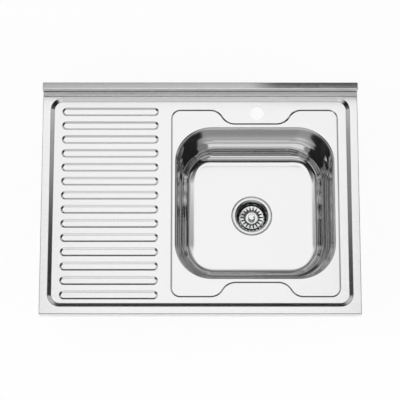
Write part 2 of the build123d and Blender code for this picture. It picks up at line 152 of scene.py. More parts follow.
# Cards: name, two opposite corners, the axis of their greys and the greys.
CARDS = (
    ("card_low_back", (-1.8, 4.0, 0.2), (1.8, 4.0, 1.4), 2, DARK),
    ("card_back", (-2.2, 4.0, 2.3), (2.2, 4.0, 4.9), 2, BACK_GREYS),
    ("card_left", (-3.0, 0.5, 1.45), (-3.0, 1.75, 2.5), 1, LOW_LEFT_GREYS),
    ("card_low_left", (-3.0, 0.4, 0.5), (-3.0, 1.5, 1.4), 2, PALE),
    ("card_right", (3.0, 0.5, 0.3), (3.0, 1.75, 2.5), 1, LOW_RIGHT_GREYS),
    ("card_upper_left", (-3.0, 0.3, 2.5), (-3.0, 3.0, 5.2), 2, LEFT_GREYS),
    ("card_upper_right", (3.0, 0.3, 2.5), (3.0, 3.0, 5.2), 2, RIGHT_GREYS),
    ("card_near_left", (-3.0, -3.2, 1.5), (-3.0, 0.3, 6.5), 2, DARK),
    ("card_near_right", (3.0, -3.2, 1.5), (3.0, 0.3, 6.5), 2, DARK),
    ("card_high_left", (-2.1, -0.6, 4.0), (-0.85, 1.42, 4.0), 1, HIGH_GREYS),
    ("card_high_right", (0.85, -0.6, 4.0), (2.1, 1.42, 4.0), 1, HIGH_GREYS),
    ("card_above_left", (-1.3, -0.85, 1.99), (-0.45, -0.25, 1.99), 0, DARK),
    ("card_above_right", (0.55, -0.85, 1.99), (1.3, -0.25, 1.99), 0, DARK),
    ("card_upstand", (-0.6, 0.368, 0.3), (0.6, 0.5, 0.3), 0, UPSTAND_GREYS),
    ("card_front", (-1.3, -4.5, 2.0), (0.75, -0.1, 2.0), 1, FRONT_GREYS),
)


def length(name, description, default):
    """A size in metres that the user can change."""
    return FloatProperty(
        name=name, description=description, default=default, unit="LENGTH", subtype="DISTANCE"
    )


def by_side(name, description, default, unit="LENGTH"):
    """A size of the bowl at its sides, its back and its front that the user can change."""
    where = "at the sides, the back and the front"
    return FloatVectorProperty(name=name, description=f"{description} {where}", default=default, unit=unit)


def tint(name, description, default):
    """A colour that the user can change."""
    return FloatVectorProperty(
        name=name, description=description, default=default, subtype="COLOR", size=3, min=0, max=1
    )


def share(name, description, default):
    """A number from 0 to 1 that the user can change."""
    return FloatProperty(
        name=name, description=description, default=default, subtype="FACTOR", min=0, max=1
    )


class SinkTopSizes(PropertyGroup):
    """Sizes of the pressed top."""

    sheet: length("Sheet", "Thickness of the pressed sheet", 0.0008)
    rim_height: length("Rim height", "Height of the rim above the cabinet", 0.022)
    front_edge: length("Front edge", "Radius of the rim's front edge", 0.003)
    side_edge: length("Side edge", "Radius of the edges at the two sides", 0.002)
    fold: length("Fold", "Radius of the fold from the skirt to the return flange", 0.0015)
    skirt_line: length("Skirt line", "Height at which the skirt's straight lower part starts", 0.010)
    flange: length("Return flange", "Width of the flange that lies on the cabinet", 0.025)
    upstand_depth: length("Upstand depth", "Depth of the upstand along the wall", 0.022)
    upstand_cove: length("Upstand cove", "Radius between the rim and the upstand", 0.006)
    upstand_nose: length("Upstand nose", "Radius of the upstand's front edge", 0.005)
    upstand_back: length("Upstand back", "Radius of the upstand's back edge", 0.003)
    rim_width: length("Rim width", "Flat rim outside the sunken panel", 0.020)
    back_rim: length("Back rim", "Flat rim between panel and upstand", 0.010)
    panel_drop: length("Panel drop", "Depth of the sunken panel", 0.006)
    panel_run: length("Panel run", "Width of the slope round the panel", 0.010)
    panel_corner: length("Panel corner", "Radius of the panel's corners in plan", 0.032)
    panel_round: length("Panel round", "Radius of the slope's crest and foot", 0.004)
    groove_count: IntProperty(name="Grooves", description="Number of drainer grooves", default=14, min=2)
    groove_width: length("Groove width", "Width of a groove at the panel", 0.022)
    groove_drop: length("Groove drop", "Depth of a groove", 0.003)
    groove_run: length("Groove run", "Width of a groove's slope", 0.0045)
    groove_round: length("Groove round", "Radius of a groove's crest and foot", 0.0016)
    groove_left_gap: length("Left gap", "From the panel's foot to the grooves", 0.0195)
    groove_right_gap: length("Right gap", "From the grooves to the recess", 0.0315)
    groove_front_gap: length("Front gap", "From the panel's front foot to the first groove", 0.010)
    groove_back_gap: length("Back gap", "From the last groove to the panel's back foot", 0.015)
    recess_right_gap: length("Recess right gap", "From the recess to the panel's right foot", 0.020)
    recess_front_gap: length("Recess front gap", "From the panel's front foot to the recess", 0.015)
    recess_back_gap: length("Recess back gap", "From the recess to the panel's back foot", 0.020)
    recess_ledge: length("Recess ledge", "Flat ledge between the recess and the bowl", 0.015)
    recess_drop: length("Recess drop", "Depth of the wavy recess", 0.0012)
    recess_run: length("Recess run", "Width of the recess's slope", 0.004)
    recess_corner: length("Recess corner", "Radius of the recess's corners in plan", 0.024)
    recess_round: length("Recess round", "Radius of the slope's crest and foot", 0.003)
    notch_shift: length("Notch shift", "From the bowl's middle to the notches' middle", 0.003)
    notch_flat: length("Notch flat", "Straight length of a notch", 0.146)
    notch_run: length("Notch run", "Sideways run of a notch's wave", 0.022)
    notch_curve: length("Notch curve", "Radius of a notch's waves in plan", 0.036)
    tap_radius: length("Tap hole", "Radius of the tap hole", MOUNTS["tap_hole"]["dims"]["r_mm"] / 1000)


class SinkBowlSizes(PropertyGroup):
    """Sizes of the drawn bowl."""

    width: length("Width", "Bowl's width at its mouth", 0.394)
    depth_in_plan: length("Length", "Bowl's length at its mouth, front to back", 0.390)
    corner: length("Corner", "Radius of the mouth's corners in plan", 0.088)
    depth: length("Depth", "From the rim to the bowl's floor", 0.160)
    left_run: length("Left run", "Lean of the left wall over its height", 0.017)
    right_run: length("Right run", "Lean of the right wall over its height", 0.027)
    back_run: length("Back run", "Lean of the back wall over its height", 0.017)
    front_run: length("Front run", "Lean of the front wall over its height", 0.047)
    mouth_round: length("Mouth round", "Radius from the ledge into the bowl", 0.006)
    floor_corner: length("Floor corner", "Radius of the floor's corners in plan", 0.082)
    floor_round: by_side("Floor round", "Radius from the walls into the foot", (0.024, 0.024, 0.018))
    foot_round: by_side("Foot round", "Radius of the floor's shallow foot", (0.100, 0.045, 0.060))
    foot_slope: by_side(
        "Foot slope", "Slope of the shallow foot", (radians(12), radians(40), radians(12)), "ROTATION"
    )
    corner_tuck: share("Corner tuck", "How much tighter the foot is in the bowl's corners", 0.5)
    wall_bow: length("Wall bow", "How far the drawn walls bulge above their middle", 0.005)
    bow_round: length("Bow round", "Radius of the walls' bulge", 0.500)
    wave_depth: length("Wave depth", "Depth of the faint waves that drawing leaves in the walls", 0.0025)
    wave_length: length("Wave length", "Distance from wave to wave down the walls", 0.070)
    wave_start: length("Wave start", "Depth below the cabinet's top at which the waves begin", 0.040)
    wave_growth: length("Wave growth", "Height over which the waves reach their full depth", 0.050)
    seat_radius: length("Seat radius", "Radius of the sunken seat of the waste", 0.0505)
    seat_run: length("Seat run", "Width of the seat's slope", 0.002)
    seat_drop: length("Seat drop", "Depth of the seat", 0.0024)
    seat_round: length("Seat round", "Radius of the seat's crest and foot", 0.0010)
    drain_hole: length("Drain hole", "Radius of the hole for the waste", 0.043)


class SinkWasteSizes(PropertyGroup):
    """Sizes of the strainer cup, the basket and its knob."""

    sheet: length("Sheet", "Thickness of cup and dish", 0.0008)
    flange_radius: length("Flange", "Radius of the cup's flange", (CUP_HIGH.x - CUP_LOW.x) / 2)
    flange_roll: length("Flange roll", "Radius of the flange's rolled edge", 0.0012)
    well_radius: length("Well", "Radius of the well at its lip", 0.039)
    well_lip: length("Well lip", "Radius from the flange into the well", 0.006)
    well_foot: length("Well foot", "Radius of the well at its floor", 0.036)
    well_corner: length("Well corner", "Radius from the well's wall into its floor", 0.005)
    well_depth: length("Well depth", "From the flange to the well's floor", 0.030)
    port_count: IntProperty(name="Ports", description="Number of drain ports", default=8, min=3)
    port_circle: length("Port circle", "From the middle to the ports", 0.021)
    port_radius: length("Port radius", "Radius of a drain port", 0.006)
    bolt_hole: length("Bolt hole", "Radius of the hole for the centre bolt", 0.0061)
    dish_radius: length("Dish", "Radius of the basket's dish", (DISH_HIGH.x - DISH_LOW.x) / 2)
    dish_roll: length("Dish roll", "Radius of the dish's rolled edge", 0.0010)
    dish_disc: length("Dish disc", "Radius of the flat middle", 0.016)
    dish_bend: length("Dish bend", "Radius of the dish's two bends", 0.003)
    dish_knee_run: length("Knee run", "Width of the steep ring round the flat middle", 0.0045)
    dish_knee_rise: length("Knee rise", "Height of the steep ring", 0.005)
    dish_rise: length("Dish rise", "From the flat middle up to the rim", 0.006)
    stem_hole: length("Stem hole", "Radius of the hole for the stem", 0.0031)
    slot_count: IntProperty(name="Slots", description="Number of slots in the dish", default=18, min=3)
    slot_inner: length("Slot start", "From the middle to a slot's inner end", 0.017)
    slot_outer: length("Slot end", "From the middle to a slot's outer end", 0.0294)
    slot_width: length("Slot width", "Width of a slot", 0.0034)
    knob_radius: length("Knob", "Radius of the knob's head", (KNOB_HIGH.x - KNOB_LOW.x) / 2)
    knob_foot: length("Knob foot", "Radius of the knob's foot", 0.007)
    knob_foot_height: length("Foot height", "Height of the knob's foot", 0.0025)
    knob_neck: length("Knob neck", "Radius of the knob's neck", 0.005)
    knob_neck_height: length("Neck height", "Height of the neck's upper end", 0.005)
    knob_edge: length("Knob edge", "Height of the head's lower and upper slopes", 0.0025)
    knob_round: length("Knob round", "Radius of the knob's rounded edges", 0.0012)
    knob_crown: length("Knob crown", "Height of the crowned top", 0.0008)
    crown_round: length("Crown round", "Radius of the crowned top", 0.045)


class SinkFinish(PropertyGroup):
    """Colours and gloss of the materials."""

    top_colour: tint("Top steel", "Reflection colour of the satin top", (0.905, 0.900, 0.902))
    top_roughness: share("Top roughness", "Roughness of the satin top", 0.14)
    wall_colour: tint("Bowl steel", "Reflection colour of the bowl", (0.900, 0.895, 0.897))
    wall_roughness: share("Wall roughness", "Roughness of the polished bowl walls", 0.03)
    floor_roughness: share("Floor roughness", "Roughness of the satin bowl floor", 0.11)
    polish_start: length("Polish start", "Height above the floor at which the polish begins", 0.001)
    polish_end: length("Polish end", "Height above the floor from which the walls are polished", 0.020)
    strainer_colour: tint("Strainer steel", "Reflection colour of the strainer", (0.82, 0.825, 0.83))
    chrome_colour: tint("Chrome", "Reflection colour of the knob", (0.86, 0.865, 0.87))
    zinc_colour: tint("Zinc", "Colour of the plated brackets", (0.60, 0.63, 0.66))
    brass_colour: tint("Brass", "Colour of the nut", (0.78, 0.60, 0.30))
    turned_colour: tint("Turned steel", "Colour of bolt, stem and catch", (0.66, 0.66, 0.66))
    rubber_colour: tint("Rubber", "Colour of the seals", (0.030, 0.030, 0.032))
    mat_colour: tint("Damping mat", "Colour of the mats under the sink", (0.060, 0.058, 0.056))
    white_plastic: tint("White plastic", "Colour of the waste body", (0.78, 0.78, 0.75))
    black_plastic: tint("Black plastic", "Colour of the stopper's hub", (0.045, 0.045, 0.048))


class SinkStage(PropertyGroup):
    """Camera, light and surroundings."""

    camera_back: length("Camera back", "How far the camera stands in front of the sink", 1.6125)
    camera_height: length("Camera height", "Camera's height above the cabinet", 5.2817)
    camera_side: length("Camera side", "Camera's place along the sink", -0.0006)
    camera_tilt: FloatProperty(
        name="Camera tilt", description="Tilt from straight down", default=radians(17), subtype="ANGLE"
    )
    camera_lens: FloatProperty(
        name="Lens", description="Focal length in millimetres", default=197.2, min=1, unit="CAMERA"
    )
    floor_colour: tint("Floor", "Colour of the pale floor", (0.90, 0.90, 0.90))
    floor_reach: length("Floor reach", "From the middle to the floor's edges", 12)
    floor_glow: share("Floor glow", "Share of plain white in the floor that the camera sees", 0.93)
    soft_light: share("Soft light", "Strength of the even light from all round", 0.6)


class Shell:
    """Points that each carry the surface's own normal, and the faces between them."""

    def __init__(self):
        self.points = []
        self.normals = []
        self.faces = []
        self.known = {}

    def point(self, place, normal):
        """Index of the point at that place with that normal, shared with the faces that meet there."""
        key = tuple(np.round((*place, *normal), SAME_PLACE_DIGITS))
        if key not in self.known:
            self.known[key] = len(self.points)
            self.points.append(np.array(place, float))
            self.normals.append(np.array(normal, float))
        return self.known[key]

    def ring(self, places, normals):
        """Indices of a row of points."""
        return [self.point(place, normal) for place, normal in zip(places, normals)]

    def face(self, corners):
        """Adds a face, turned to the side of its points' normals, without repeated corners."""
        corners = [k for n, k in enumerate(corners) if k not in corners[:n]]
        if len(corners) < 3:
            return
        start = self.points[corners[0]]
        arms = [self.points[k] - start for k in corners[1:]]
        area = sum(np.cross(first, second) for first, second in zip(arms, arms[1:]))
        if np.linalg.norm(area) < SMALLEST_AREA:
            return
        if np.dot(area, sum(self.normals[k] for k in corners)) < 0:
            corners.reverse()
        self.faces.append(tuple(corners))

    def strips(self, rows, closed=True):
        """Faces between rows of points, from the first row to the last."""
        for first, second in zip(rows, rows[1:]):
            count = len(first)
            for k in range(count if closed else count - 1):
                after = (k + 1) % count
                self.face([first[k], first[after], second[after], second[k]])

    def fill(self, loops, across=(0, 1)):
        """Triangles on a flat between an outer loop and the loops inside it."""
        ids = [k for loop in loops for k in loop]
        flat = np.array([[self.points[k][axis] for axis in across] for k in ids])
        edges = []
        for loop in loops:
            start = len(edges)
            edges += [(start + k, start + (k + 1) % len(loop)) for k in range(len(loop))]
        places = [Vector(place) for place in flat]
        _, _, triangles, origins, *_ = delaunay_2d_cdt(places, edges, [], 0, FILL_TOLERANCE)
        ends = flat[np.array(edges)]
        for triangle in triangles:
            corners = [origins[k][0] for k in triangle]
            if inside(flat[corners].mean(axis=0), ends):
                self.face([ids[k] for k in corners])

    def thicken(self, sheet):
        """Adds the under side, one sheet below the face, and closes the open edges between the two."""
        upper = list(self.faces)
        under = {}
        for k in sorted({corner for face in upper for corner in face}):
            under[k] = self.point(self.points[k] - sheet * self.normals[k], -self.normals[k])
        edge_faces = {}
        for face in upper:
            self.face([under[k] for k in face])
            for a, b in zip(face, face[1:] + face[:1]):
                edge_faces.setdefault(frozenset((a, b)), []).append(face)
        for edge, faces in edge_faces.items():
            if len(faces) == 1:
                self.close_edge(edge, faces[0], under)

    def close_edge(self, edge, face, under):
        """Closes the sheet's cut edge, facing away from the sheet."""
        a, b = sorted(edge)
        along = self.points[b] - self.points[a]
        outward = np.cross(along, self.normals[a] + self.normals[b])
        inner = sum(self.points[k] for k in face) / len(face)
        if np.dot(outward, inner - self.points[a]) > 0:
            outward = -outward
        outward /= np.linalg.norm(outward)
        corners = (a, b, under[b], under[a])
        self.face([self.point(self.points[k], outward) for k in corners])

    def build(self, name, material):
        """The mesh object, shaded with the surface's own normals."""
        piece = add_mesh(name, [tuple(place) for place in self.points], self.faces, material)
        piece.data.polygons.foreach_set("use_smooth", [True] * len(self.faces))
        piece.data.normals_split_custom_set_from_vertices([tuple(normal) for normal in self.normals])
        return piece


def add_object(name, data):
    """A new object of the scene that holds the data."""
    made = bpy.data.objects.new(name, data)
    bpy.context.scene.collection.objects.link(made)
    return made


def add_mesh(name, places, faces, material):
    """A new mesh object with one material."""
    mesh = bpy.data.meshes.new(name)
    mesh.from_pydata(places, [], faces)
    mesh.materials.append(material)
    return add_object(name, mesh)


def inside(place, ends):
    """Whether a place lies inside an odd number of the loops whose edges have these ends."""
    start, end = ends[:, 0], ends[:, 1]
    spans = (start[:, 1] > place[1]) != (end[:, 1] > place[1])
    start, end = start[spans], end[spans]
    across = (place[1] - start[:, 1]) * (end[:, 0] - start[:, 0])
    crossing = start[:, 0] + across / (end[:, 1] - start[:, 1])
    return np.count_nonzero(crossing > place[0]) % 2 == 1


def right_of(direction):
    """The direction turned a quarter to the right."""
    return np.array((direction[1], -direction[0]))


def rounded_line(corners, radii, steps=ARC_STEPS, closed=True):
    """Points of a line with rounded corners, and the normals on its right-hand side."""
    corners = [np.array(corner, float) for corner in corners]
    places, normals = [], []
    for k, corner in enumerate(corners):
        before = corner - corners[k - 1]
        after = corners[(k + 1) % len(corners)] - corner
        before /= np.linalg.norm(before)
        after /= np.linalg.norm(after)
        if not closed and k in (0, len(corners) - 1):
            places.append(corner)
            normals.append(right_of(after if k == 0 else before))
            continue
        turn = atan2(before[0] * after[1] - before[1] * after[0], before @ after)
        side = copysign(1, turn)
        middle = corner - before * radii[k] * tan(abs(turn) / 2) - side * radii[k] * right_of(before)
        for step in range(steps + 1) if radii[k] else (0, steps):
            angle = turn * step / steps
            normal = cos(angle) * right_of(before) + sin(angle) * before
            places.append(middle + side * radii[k] * normal)
            normals.append(normal)
    return np.array(places), np.array(normals)


def rectangle(left, right, front, back, corner, steps=ARC_STEPS):
    """Rounded rectangle, seen from above."""
    corners = [(left, front), (right, front), (right, back), (left, back)]
    return rounded_line(corners, [corner] * 4, steps)


def circle(middle, radius, steps=ROUND_STEPS):
    """Circle, seen from above."""
    angles = 2 * pi * np.arange(steps) / steps
    normals = np.stack((np.cos(angles), np.sin(angles)), axis=1)
    return np.array(middle) + radius * normals, normals


def step_profile(drop, run, bend):
    """(shift outwards, level, lean) down a slope whose crest and foot have the radius of the bend."""
    slope = atan2(drop, run)
    reach = bend * tan(slope / 2)
    leans = [slope * k / SLOPE_STEPS for k in range(SLOPE_STEPS + 1)]
    upper = [(reach - bend * sin(lean), -bend * (1 - cos(lean)), lean) for lean in leans]
    lower = [(bend * sin(lean) - run - reach, bend * (1 - cos(lean)) - drop, lean) for lean in leans]
    return upper + lower[::-1]


def ring_on(shell, line, shift, level, lean):
    """A ring along a line seen from above, shifted outwards, at a level, leaning inwards."""
    places, normals = line
    flat = places + normals * shift
    return shell.ring(
        [(*place, level) for place in flat], [(*(-normal * sin(lean)), cos(lean)) for normal in normals]
    )


def press_step(shell, line, level, profile):
    """A pressed slope along a line. Returns its crest and its foot."""
    rings = [ring_on(shell, line, shift, level + drop, lean) for shift, drop, lean in profile]
    shell.strips(rings)
    return rings[0], rings[-1]


def turn_round(shell, section, steps=ROUND_STEPS):
    """Faces of a section of (radius, level) points turned round the drain. Returns its two end rings."""
    spokes = circle((0, 0), 1, steps)[1]
    rings = []
    for (radius, level), (sideways, upwards) in zip(*section):
        places = [(*(DRAIN + radius * spoke), level) for spoke in spokes]
        rings.append(shell.ring(places, [(*(sideways * spoke), upwards) for spoke in spokes]))
    shell.strips(rings)
    return rings[0], rings[-1]


def sink_places(top, bowl):
    """Levels and places that follow from the sizes and the frame."""
    at = SimpleNamespace()
    at.right = TOP_HIGH.x
    at.front = TOP_LOW.y
    at.back = TOP_HIGH.y
    at.crown = TOP_HIGH.z
    at.rim = top.rim_height
    at.panel = at.rim - top.panel_drop
    at.recess = at.panel - top.recess_drop
    at.floor = at.rim - bowl.depth
    at.wall = at.back - top.upstand_depth
    at.panel_right = at.right - top.rim_width
    at.panel_front = at.front + top.rim_width
    at.panel_back = at.wall - top.back_rim
    at.foot_right = at.panel_right - top.panel_run
    at.foot_front = at.panel_front + top.panel_run
    at.foot_back = at.panel_back - top.panel_run
    at.recess_right = at.foot_right - top.recess_right_gap
    at.recess_front = at.foot_front + top.recess_front_gap
    at.recess_back = at.foot_back - top.recess_back_gap
    at.bowl_right = at.recess_right - top.recess_ledge
    at.bowl_left = at.bowl_right - bowl.width
    at.bowl_middle = (at.recess_front + at.recess_back) / 2
    at.bowl_front = at.bowl_middle - bowl.depth_in_plan / 2
    at.bowl_back = at.bowl_middle + bowl.depth_in_plan / 2
    at.recess_left = at.bowl_left - top.recess_ledge
    at.groove_left = top.groove_left_gap - at.foot_right
    at.groove_right = at.recess_left - top.groove_right_gap
    at.groove_front = at.foot_front + top.groove_front_gap
    at.groove_back = at.foot_back - top.groove_back_gap
    return at


def recess_line(top, at):
    """The wavy outline of the recess, notched at the front and behind the bowl."""
    middle = (at.bowl_left + at.bowl_right) / 2 + top.notch_shift
    flat = top.notch_flat / 2
    reach = flat + top.notch_run
    front_notch = at.bowl_front - top.recess_ledge
    back_notch = at.bowl_back + top.recess_ledge
    corners = []
    for start, end, side, edge, notch in (
        (at.recess_left, at.recess_right, 1, at.recess_front, front_notch),
        (at.recess_right, at.recess_left, -1, at.recess_back, back_notch),
    ):
        corners += [(start, edge), (middle - side * reach, edge), (middle - side * flat, notch)]
        corners += [(middle + side * flat, notch), (middle + side * reach, edge), (end, edge)]
    half = [top.recess_corner, *[top.notch_curve] * 4, top.recess_corner]
    return rounded_line(corners, half + half)


def soft_step(part):
    """0 up to 0, 1 from 1 on and a smooth rise between."""
    part = np.clip(part, 0, 1)
    return part * part * (3 - 2 * part)


def wave_height(bowl, level, floor):
    """Height of the faint waves that drawing leaves in the lower walls, at levels from the weld down."""
    growth = soft_step((-bowl.wave_start - level) / bowl.wave_growth)
    turn = 2 * pi / bowl.wave_length
    return bowl.wave_depth / 2 * growth * (cos(turn * floor) - np.cos(turn * level))


def add_waves(bowl, places, normals, weld, floor):
    """The wall's section with its waves, and rows in its straight part that can follow them."""
    parts = np.linspace(0, 1, WAVE_ROWS + 2)[1:-1, None]
    start, end = places[BULGE_ROW], places[BULGE_ROW + 1]
    places = np.insert(places, BULGE_ROW + 1, start + (end - start) * parts, axis=0)
    lean = np.repeat(normals[BULGE_ROW : BULGE_ROW + 1], WAVE_ROWS, axis=0)
    normals = np.insert(normals, BULGE_ROW + 1, lean, axis=0)
    levels = places[:, 1] - weld
    above, below = (wave_height(bowl, levels + step, floor - weld) for step in (SMALL_STEP, -SMALL_STEP))
    along = np.stack((-normals[:, 1], normals[:, 0]), axis=1)
    slope = (above - below) / (2 * SMALL_STEP) * along[:, 1]
    places = places + normals * ((above + below) / 2)[:, None]
    normals = normals - along * slope[:, None]
    return places, normals / np.linalg.norm(normals, axis=1, keepdims=True)


def wall_section(bowl, drop, run, weld, outward):
    """Section of the wall as (outward shift, level) and normals: mouth, weld, bulge, round and foot."""
    sides = np.array((outward[0], max(outward[1], 0), min(outward[1], 0))) ** 2
    floor_round, foot_round, slope = (
        float(sides @ np.array(sizes)) for sizes in (bowl.floor_round, bowl.foot_round, bowl.foot_slope)
    )
    foot_round *= 1 - bowl.corner_tuck * (2 * outward[0] * outward[1]) ** 2
    reach = floor_round + foot_round
    bulge = np.array((bowl.wall_bow - run * BOW_HEIGHT, -drop * BOW_HEIGHT))
    foot = np.array((-run, -drop))
    lean = atan2(bulge[1] - foot[1], bulge[0] - foot[0])
    shallow = floor_round * tan((lean - slope) / 2) + foot_round * tan(slope / 2)
    rise = shallow * sin(slope)
    bend = foot + (bulge - foot) * rise / (bulge[1] - foot[1])
    flat = bend[0] - shallow * cos(slope)
    corners = [(reach, 0), (0, 0), bulge, bend, (flat, -drop), (flat - reach, -drop)]
    radii = [0, bowl.mouth_round, bowl.bow_round, floor_round, foot_round, 0]
    places, normals = rounded_line(corners, radii, BOWL_STEPS, closed=False)
    above, below = places[WELD_ROW], places[WELD_ROW + 1]
    seam = above + (below - above) * (weld - above[1]) / (below[1] - above[1])
    places = np.insert(places, WELD_ROW + 1, seam, axis=0)
    normals = np.insert(normals, WELD_ROW + 1, normals[WELD_ROW], axis=0)
    places, normals = add_waves(bowl, places, normals, weld, -drop)
    return places[1:-1], normals[1:-1]


def wall_rows(bowl, at):
    """Rows of (places, normals) down the bowl's wall, from the ledge past the weld to the flat floor."""
    sides = at.bowl_left, at.bowl_right, at.bowl_front, at.bowl_back
    mouth, outward = rectangle(*sides, bowl.corner, BOWL_STEPS)
    runs = bowl.left_run, -bowl.right_run, bowl.front_run, -bowl.back_run
    foot, _ = rectangle(*np.add(sides, runs), bowl.floor_corner, BOWL_STEPS)
    drop = at.recess - at.floor
    columns = []
    for start, end, normal in zip(mouth, foot, outward):
        run = (start - end) @ normal
        column = []
        section = wall_section(bowl, drop, run, -at.recess, normal)
        for (shift, level), (sideways, upwards) in zip(*section):
            part = min(max(-level / drop, 0), 1)
            place = start + (end - start) * part + normal * (shift + run * part)
            column.append((*place, at.recess + level, *(normal * sideways), upwards))
        columns.append(column)
    rows = np.array(columns).transpose(1, 0, 2)
    return [(row[:, :3], row[:, 3:]) for row in rows]


class SINK_OT_pressed_top(Operator):
    """Presses the top: rim, skirt, upstand, sunken panel, drainer grooves, recess and tap hole"""

    bl_idname = "sink.pressed_top"
    bl_label = "Pressed top"

    def execute(self, context):
        top, bowl = context.scene.sink_top_sizes, context.scene.sink_bowl_sizes
        at = sink_places(top, bowl)
        shell = Shell()
        deck = self.rim_and_upstand(shell, top, at)
        self.skirt(shell, top, at)
        panel = rectangle(-at.panel_right, at.panel_right, at.panel_front, at.panel_back, top.panel_corner)
        slope = step_profile(top.panel_drop, top.panel_run, top.panel_round)
        crest, foot = press_step(shell, panel, at.rim, slope)
        shell.fill([deck, crest])
        tap = circle(MOUNTS["tap_hole"]["pos_m"][:2], top.tap_radius)
        tap_edge = ring_on(shell, tap, 0, at.panel, 0)
        edge = step_profile(top.recess_drop, top.recess_run, top.recess_round)
        recess_crest, recess_foot = press_step(shell, recess_line(top, at), at.panel, edge)
        shell.fill([foot, recess_crest, tap_edge, *self.grooves(shell, top, at)])
        collar = [shell.ring(*row) for row in wall_rows(bowl, at)[: WELD_ROW + 1]]
        shell.strips(collar)
        shell.fill([recess_foot, collar[0]])
        shell.thicken(top.sheet)
        piece = shell.build("pressed_top", satin_steel(context.scene.sink_finish))
        dress(piece, "sink", "sink_top")
        return {"FINISHED"}

    def rim_and_upstand(self, shell, top, at):
        """Edges of the rim and the whole upstand. Returns the loop that the flat rim fills."""
        reach = at.right - top.side_edge
        section = rounded_line(
            [
                (at.back, top.skirt_line),
                (at.back, at.crown),
                (at.wall, at.crown),
                (at.wall, at.rim),
                (at.front, at.rim),
                (at.front, top.skirt_line),
            ],
            [0, top.upstand_back, top.upstand_nose, top.upstand_cove, top.front_edge, 0],
            closed=False,
        )
        ends = []
        for side in (-1, 1):
            rows = []
            for step in range(EDGE_STEPS + 1):
                turn = pi / 2 * step / EDGE_STEPS
                x = side * (reach + top.side_edge * sin(turn))
                places = section[0] - section[1] * top.side_edge * (1 - cos(turn))
                normals = [(side * sin(turn), *(normal * cos(turn))) for normal in section[1]]
                rows.append(shell.ring([(x, *place) for place in places], normals))
            shell.strips(rows, closed=False)
            shell.fill([rows[-1]], across=(1, 2))
            ends.append(rows[0])
        left, right = ends
        flat = int(np.argmax(np.linalg.norm(np.diff(section[0], axis=0), axis=1)))
        for k in range(len(left) - 1):
            if k != flat:
                shell.face([left[k], right[k], right[k + 1], left[k + 1]])
        return [left[flat + 1], right[flat + 1], right[flat], left[flat]]

    def skirt(self, shell, top, at):
        """Straight skirt round the sink, its fold and the return flange."""
        line = rectangle(-at.right, at.right, at.front, at.back, top.side_edge, EDGE_STEPS)
        rings = [ring_on(shell, line, 0, level, -pi / 2) for level in (top.skirt_line, top.fold)]
        for step in range(1, ARC_STEPS + 1):
            turn = pi / 2 * step / ARC_STEPS
            shift = -top.fold * (1 - cos(turn))
            rings.append(ring_on(shell, line, shift, top.fold * (1 - sin(turn)), -pi / 2 - turn))
        shell.strips(rings)
        x, front, back = at.right - top.flange, at.front + top.flange, at.back - top.flange
        corners = [(-x, front, 0), (x, front, 0), (x, back, 0), (-x, back, 0)]
        inner = shell.ring(corners, [(0, 0, -1)] * 4)
        shell.fill([rings[-1], inner])

    def grooves(self, shell, top, at):
        """The drainer's closed grooves. Returns their crests."""
        profile = step_profile(top.groove_drop, top.groove_run, top.groove_round)
        pitch = (at.groove_back - at.groove_front - top.groove_width) / (top.groove_count - 1)
        crests = []
        for k in range(top.groove_count):
            front = at.groove_front + k * pitch
            back = front + top.groove_width
            line = rectangle(at.groove_left, at.groove_right, front, back, top.groove_width / 2)
            crest, foot = press_step(shell, line, at.panel, profile)
            shell.fill([list(dict.fromkeys(foot))])
            crests.append(list(dict.fromkeys(crest)))
        return crests


class SINK_OT_bowl(Operator):
    """Draws the bowl from the weld down to the drain hole"""

    bl_idname = "sink.bowl"
    bl_label = "Bowl"

    def execute(self, context):
        top, bowl = context.scene.sink_top_sizes, context.scene.sink_bowl_sizes
        at = sink_places(top, bowl)
        shell = Shell()
        wall = [shell.ring(*row) for row in wall_rows(bowl, at)[WELD_ROW:]]
        shell.strips(wall)
        seat = circle(DRAIN, bowl.seat_radius + bowl.seat_run)
        slope = step_profile(bowl.seat_drop, bowl.seat_run, bowl.seat_round)
        crest, foot = press_step(shell, seat, at.floor, slope)
        shell.fill([wall[-1], crest])
        hole = ring_on(shell, circle(DRAIN, bowl.drain_hole), 0, at.floor - bowl.seat_drop, 0)
        shell.fill([foot, hole])
        shell.thicken(top.sheet)
        piece = shell.build("drawn_bowl", bowl_steel(context.scene.sink_finish, at))
        dress(piece, "sink", "bowl")
        return {"FINISHED"}


class SINK_OT_strainer_cup(Operator):
    """Presses the strainer's flange and well, with its drain ports"""

    bl_idname = "sink.strainer_cup"
    bl_label = "Strainer cup"

    def execute(self, context):
        waste = context.scene.sink_waste_sizes
        shell = Shell()
        flange = CUP_HIGH.z
        well = flange - waste.well_depth
        flat = waste.well_foot - FOOT_WIDTH * waste.well_corner
        corners = [
            (waste.flange_radius, flange - waste.flange_roll),
            (waste.flange_radius, flange),
            (waste.well_radius, flange),
            (waste.well_foot, well),
            (flat, well),
        ]
        radii = [0, waste.flange_roll, waste.well_lip, waste.well_corner, 0]
        _, floor = turn_round(shell, rounded_line(corners, radii, closed=False))
        holes = [ring_on(shell, circle(DRAIN, waste.bolt_hole), 0, well, 0)]
        for spoke in circle((0, 0), 1, waste.port_count)[1]:
            port = circle(DRAIN + waste.port_circle * spoke, waste.port_radius, HOLE_STEPS)
            holes.append(ring_on(shell, port, 0, well, 0))
        shell.fill([floor, *holes])
        shell.thicken(waste.sheet)
        piece = shell.build("pressed_cup", strainer_steel(context.scene.sink_finish))
        dress(piece, "sink", "strainer_cup")
        return {"FINISHED"}


